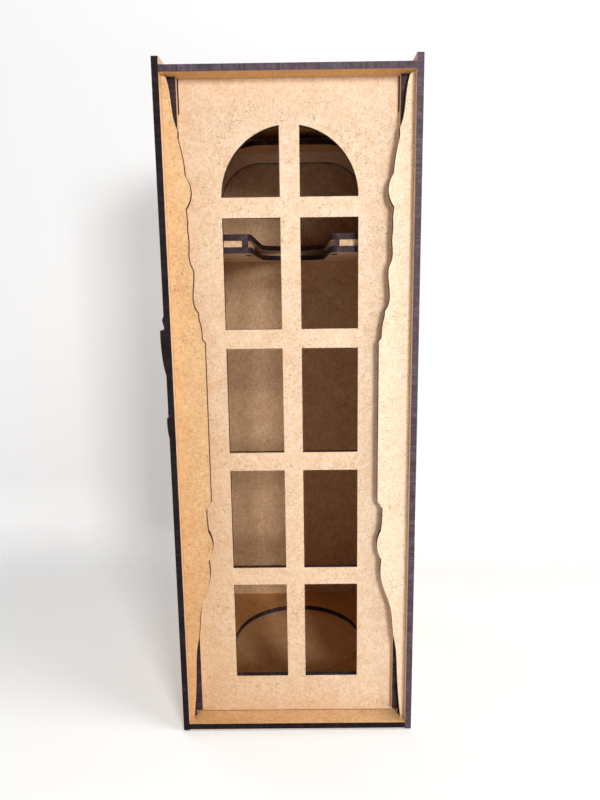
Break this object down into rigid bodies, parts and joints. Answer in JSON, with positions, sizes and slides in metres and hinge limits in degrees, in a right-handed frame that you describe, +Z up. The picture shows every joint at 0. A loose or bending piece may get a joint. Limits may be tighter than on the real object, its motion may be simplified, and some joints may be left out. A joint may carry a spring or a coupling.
{
  "type": "wine bottle puzzle box",
  "caption": "Tall case of laser-cut board that locks a wine bottle in behind a sliding arched window; knobs on the side drive toothed bolts into the window's edge.",
  "frame": {"origin": "middle of the bounding box at the level of the feet, knobs included, so the case's own middle lies 4.55 mm to +X", "axes": "+Z up along the bottle, -Y out of the front with the window, -X out of the side with the knobs"},
  "size_m": [0.1272, 0.14, 0.3266],
  "materials": {
    "case_board": "bare laser-cut fibreboard, pale faces and burnt edges",
    "inner_board": "bare laser-cut fibreboard",
    "window_board": "bare laser-cut fibreboard, burnt edges",
    "knob_board": "bare laser-cut fibreboard, burnt edges",
    "works_board": "bare laser-cut fibreboard",
    "dowel": "smooth bare dowel"
  },
  "bodies": {
    "case": {"back_panel": "case_board", "bottle_seat": "inner_board", "bottom_panel": "case_board", "left_column_strip": "case_board", "left_front_post": "inner_board", "left_front_spacer": "inner_board", "left_inner_wall": "inner_board", "left_rear_post": "inner_board", "left_rear_spacer": "inner_board", "left_shelf_web": "inner_board", "left_side_panel": "case_board", "left_window_rail": "inner_board", "lower_bolt_bottom_guide": "works_board", "lower_bolt_top_guide": "works_board", "neck_shelf_lower": "inner_board", "neck_shelf_upper": "inner_board", "notch_end_spacer": "inner_board", "rear_arch": "inner_board", "right_column_strip": "case_board", "right_front_post": "inner_board", "right_front_spacer": "inner_board", "right_inner_wall": "inner_board", "right_rear_post": "inner_board", "right_rear_spacer": "inner_board", "right_shelf_web": "inner_board", "right_side_panel": "case_board", "right_window_rail": "inner_board", "stop_ledge": "inner_board", "top_panel": "case_board", "upper_bolt_bottom_guide": "works_board", "upper_bolt_top_guide": "works_board"},
    "window": {"sliding_window": "window_board"},
    "upper_knob": {"upper_knob_washer": "knob_board", "upper_knob_disc": "knob_board", "upper_knob_plate": "knob_board", "upper_axle": "dowel", "upper_pinion": "works_board"},
    "lower_knob": {"lower_knob_washer": "knob_board", "lower_knob_disc": "knob_board", "lower_knob_plate": "knob_board", "lower_axle": "dowel", "lower_pinion": "works_board"},
    "upper_bolt": {"upper_bolt": "works_board", "upper_bolt_nose": "works_board"},
    "lower_bolt": {"lower_bolt": "works_board", "lower_bolt_nose": "works_board"}
  },
  "joints": [
    {"name": "window_slide", "type": "slide", "parent": "case", "child": "window", "axis": [0, 0, 1], "range_m": [0, 0.3]},
    {"name": "upper_knob_turn", "type": "hinge", "parent": "case", "child": "upper_knob", "pos_m": [-0.06, -0.0085, 0.203], "axis": [1, 0, 0], "range_deg": [0, 90]},
    {"name": "lower_knob_turn", "type": "hinge", "parent": "case", "child": "lower_knob", "pos_m": [-0.06, -0.0166, 0.157], "axis": [1, 0, 0], "range_deg": [0, 90]},
    {"name": "upper_bolt_slide", "type": "slide", "parent": "case", "child": "upper_bolt", "axis": [0, -1, 0], "range_m": [0, 0.01414]},
    {"name": "lower_bolt_slide", "type": "slide", "parent": "case", "child": "lower_bolt", "axis": [0, -1, 0], "range_m": [0, 0.01414]}
  ],
  "couplings": [
    {"joint": "upper_bolt_slide", "follows": "upper_knob_turn", "m_per_rad": 0.009},
    {"joint": "lower_bolt_slide", "follows": "lower_knob_turn", "m_per_rad": 0.009}
  ]
}
